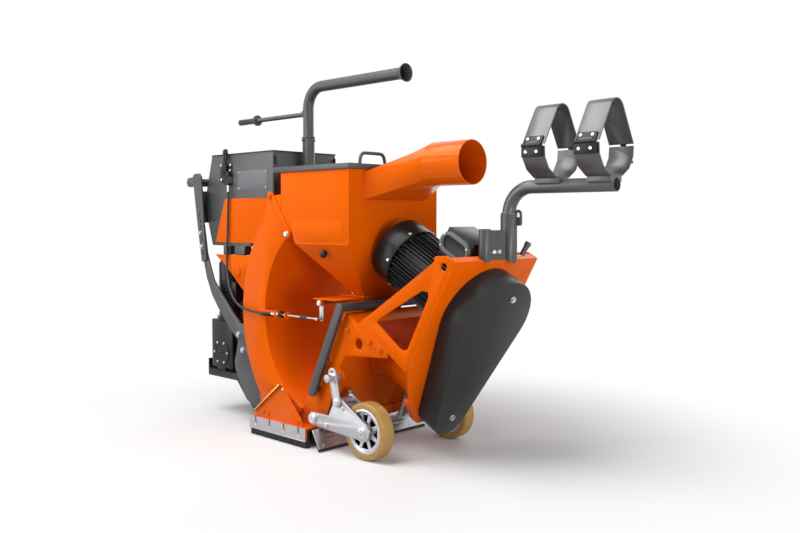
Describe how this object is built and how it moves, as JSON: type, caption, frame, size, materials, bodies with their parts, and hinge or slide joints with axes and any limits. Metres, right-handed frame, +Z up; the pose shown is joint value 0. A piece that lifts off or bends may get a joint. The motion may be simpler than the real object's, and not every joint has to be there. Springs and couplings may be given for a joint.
{
  "type": "shot blasting machine",
  "caption": "Walk-behind floor shot blaster: slanted motor and belt drive in front, hopper over a curved return duct, swivel mast and hose carrier on wheels.",
  "frame": {"origin": "middle of the bounding box at floor level", "axes": "+X to the front (belt cover end), +Y to the machine's far side (its left when pushed forward), +Z up"},
  "size_m": [1.924, 0.56, 1.368],
  "materials": {
    "orange_paint": "semi-gloss powder coat",
    "grey_paint": "satin powder coat",
    "black_paint": "satin enamel",
    "zinc_steel": "zinc plated",
    "steel": "machined",
    "hard_iron": "cast, worn",
    "rim_aluminium": "machined casting",
    "tan_tyre": "smooth polyurethane",
    "black_rubber": "matte",
    "brush_black": "bristle",
    "cable_black": "satin sheath"
  },
  "bodies": {
    "frame": {"blast_housing": "orange_paint", "wear_liner": "hard_iron", "rebound_plenum": "orange_paint", "hopper": "orange_paint", "hopper_straps": "orange_paint", "dust_duct": "orange_paint", "feed_pipe": "orange_paint", "front_plate": "orange_paint", "side_braces": "orange_paint", "belt_cover": "grey_paint", "frame_bolts": "zinc_steel", "motor_body": "black_paint", "motor_cowl": "black_paint", "terminal_box": "grey_paint", "bearing_block": "orange_paint", "mast_socket": "grey_paint", "carrier_socket": "grey_paint", "lift_bar": "grey_paint", "side_skirts": "orange_paint", "brushes": "brush_black", "front_skirt": "zinc_steel", "control_box": "grey_paint", "box_panel": "orange_paint", "chassis_arms": "grey_paint", "gear_motor": "black_paint", "drive_gearbox": "black_paint", "rear_gussets": "orange_paint", "rear_tray": "black_paint", "bowden_cable": "cable_black", "lever_plate": "black_paint", "drive_belts": "black_rubber"},
    "handle": {"handle_frame": "grey_paint", "handle_grips": "black_rubber"},
    "lid": {"hopper_lid": "grey_paint", "lid_handle": "grey_paint"},
    "valve": {"valve_flap": "steel", "valve_arm": "zinc_steel"},
    "pull_rod": {"cable_rod": "zinc_steel"},
    "shot_lever": {"control_lever": "black_paint"},
    "motor_shaft": {"motor_rotor": "steel"},
    "blast_rotor": {"wheel_spindle": "steel", "blast_wheel": "hard_iron"},
    "mast": {"mast_tube": "grey_paint", "mast_tiller": "grey_paint", "tiller_grip": "black_rubber"},
    "carrier": {"carrier_tube": "grey_paint", "rings_lower": "grey_paint"},
    "ring_rear": {"ring_rear_upper": "grey_paint"},
    "ring_front": {"ring_front_upper": "grey_paint"},
    "latch_rear": {"ring_rear_latch": "black_paint"},
    "latch_front": {"ring_front_latch": "black_paint"},
    "fork_near": {"wheel_fork_near": "zinc_steel"},
    "fork_far": {"wheel_fork_far": "zinc_steel"},
    "link_near": {"fork_link_near": "zinc_steel"},
    "link_far": {"fork_link_far": "zinc_steel"},
    "front_wheel_near": {"wheel_near": "rim_aluminium", "tyre_near": "tan_tyre"},
    "front_wheel_far": {"wheel_far": "rim_aluminium", "tyre_far": "tan_tyre"},
    "rear_wheel": {"drive_wheel": "black_rubber"}
  },
  "joints": [
    {"name": "handle_height", "type": "slide", "parent": "frame", "child": "handle", "axis": [-0.126, 0, 0.992], "range_m": [0, 0.06]},
    {"name": "lid_hinge", "type": "hinge", "parent": "frame", "child": "lid", "pos_m": [-0.307, 0, 0.984], "axis": [0, -1, 0], "range_deg": [0, 40]},
    {"name": "valve_turn", "type": "hinge", "parent": "frame", "child": "valve", "pos_m": [-0.056, 0, 0.522], "axis": [0, 1, 0], "range_deg": [0, 20]},
    {"name": "rod_pull", "type": "slide", "parent": "frame", "child": "pull_rod", "axis": [-1, 0, 0], "range_m": [0, 0.021]},
    {"name": "lever_turn", "type": "hinge", "parent": "frame", "child": "shot_lever", "pos_m": [-0.711, -0.174, 1.012], "axis": [0, -1, 0], "range_deg": [0, 39]},
    {"name": "motor_spin", "type": "hinge", "parent": "frame", "child": "motor_shaft", "pos_m": [0.47846, 0, 0.51745], "axis": [0.8746, 0, -0.4848], "continuous": true},
    {"name": "blast_spin", "type": "hinge", "parent": "frame", "child": "blast_rotor", "pos_m": [0.29472, 0, 0.18597], "axis": [0.8746, 0, -0.4848], "continuous": true},
    {"name": "mast_swivel", "type": "hinge", "parent": "frame", "child": "mast", "pos_m": [-0.363, -0.015, 1], "axis": [0, 0, 1], "range_deg": [-120, 120]},
    {"name": "carrier_swivel", "type": "hinge", "parent": "frame", "child": "carrier", "pos_m": [0.564, 0.064, 0.8], "axis": [0, 0, 1], "range_deg": [-60, 60]},
    {"name": "ring_rear_hinge", "type": "hinge", "parent": "carrier", "child": "ring_rear", "pos_m": [0.729, -0.043, 1.047], "axis": [1, 0, 0], "range_deg": [0, 110]},
    {"name": "ring_front_hinge", "type": "hinge", "parent": "carrier", "child": "ring_front", "pos_m": [0.918, -0.043, 1.047], "axis": [1, 0, 0], "range_deg": [0, 110]},
    {"name": "latch_rear_turn", "type": "hinge", "parent": "carrier", "child": "latch_rear", "pos_m": [0.73, 0.171, 1.032], "axis": [-1, 0, 0], "range_deg": [0, 60]},
    {"name": "latch_front_turn", "type": "hinge", "parent": "carrier", "child": "latch_front", "pos_m": [0.919, 0.171, 1.032], "axis": [-1, 0, 0], "range_deg": [0, 60]},
    {"name": "fork_near_lift", "type": "hinge", "parent": "frame", "child": "fork_near", "pos_m": [-0.071, -0.23, 0.107], "axis": [0, 1, 0], "range_deg": [-3, 5]},
    {"name": "fork_far_lift", "type": "hinge", "parent": "frame", "child": "fork_far", "pos_m": [-0.071, 0.23, 0.107], "axis": [0, 1, 0], "range_deg": [-3, 5]},
    {"name": "link_near_turn", "type": "hinge", "parent": "fork_near", "child": "link_near", "pos_m": [0.063, -0.23, 0.186], "axis": [0, 1, 0], "range_deg": [-8, 5]},
    {"name": "link_far_turn", "type": "hinge", "parent": "fork_far", "child": "link_far", "pos_m": [0.063, 0.23, 0.186], "axis": [0, 1, 0], "range_deg": [-8, 5]},
    {"name": "wheel_near_spin", "type": "hinge", "parent": "fork_near", "child": "front_wheel_near", "pos_m": [0.184, -0.21, 0.1], "axis": [0, 1, 0], "continuous": true},
    {"name": "wheel_far_spin", "type": "hinge", "parent": "fork_far", "child": "front_wheel_far", "pos_m": [0.184, 0.21, 0.1], "axis": [0, 1, 0], "continuous": true},
    {"name": "drive_wheel_spin", "type": "hinge", "parent": "frame", "child": "rear_wheel", "pos_m": [-0.656, 0, 0.1], "axis": [0, 1, 0], "continuous": true}
  ],
  "couplings": [
    {"joint": "rod_pull", "follows": "valve_turn", "m_per_rad": 0.0575},
    {"joint": "lever_turn", "follows": "valve_turn", "ratio": 1.9},
    {"joint": "blast_spin", "follows": "motor_spin", "ratio": 2.4583},
    {"joint": "link_near_turn", "follows": "fork_near_lift", "ratio": -1.5},
    {"joint": "link_far_turn", "follows": "fork_far_lift", "ratio": -1.5}
  ]
}
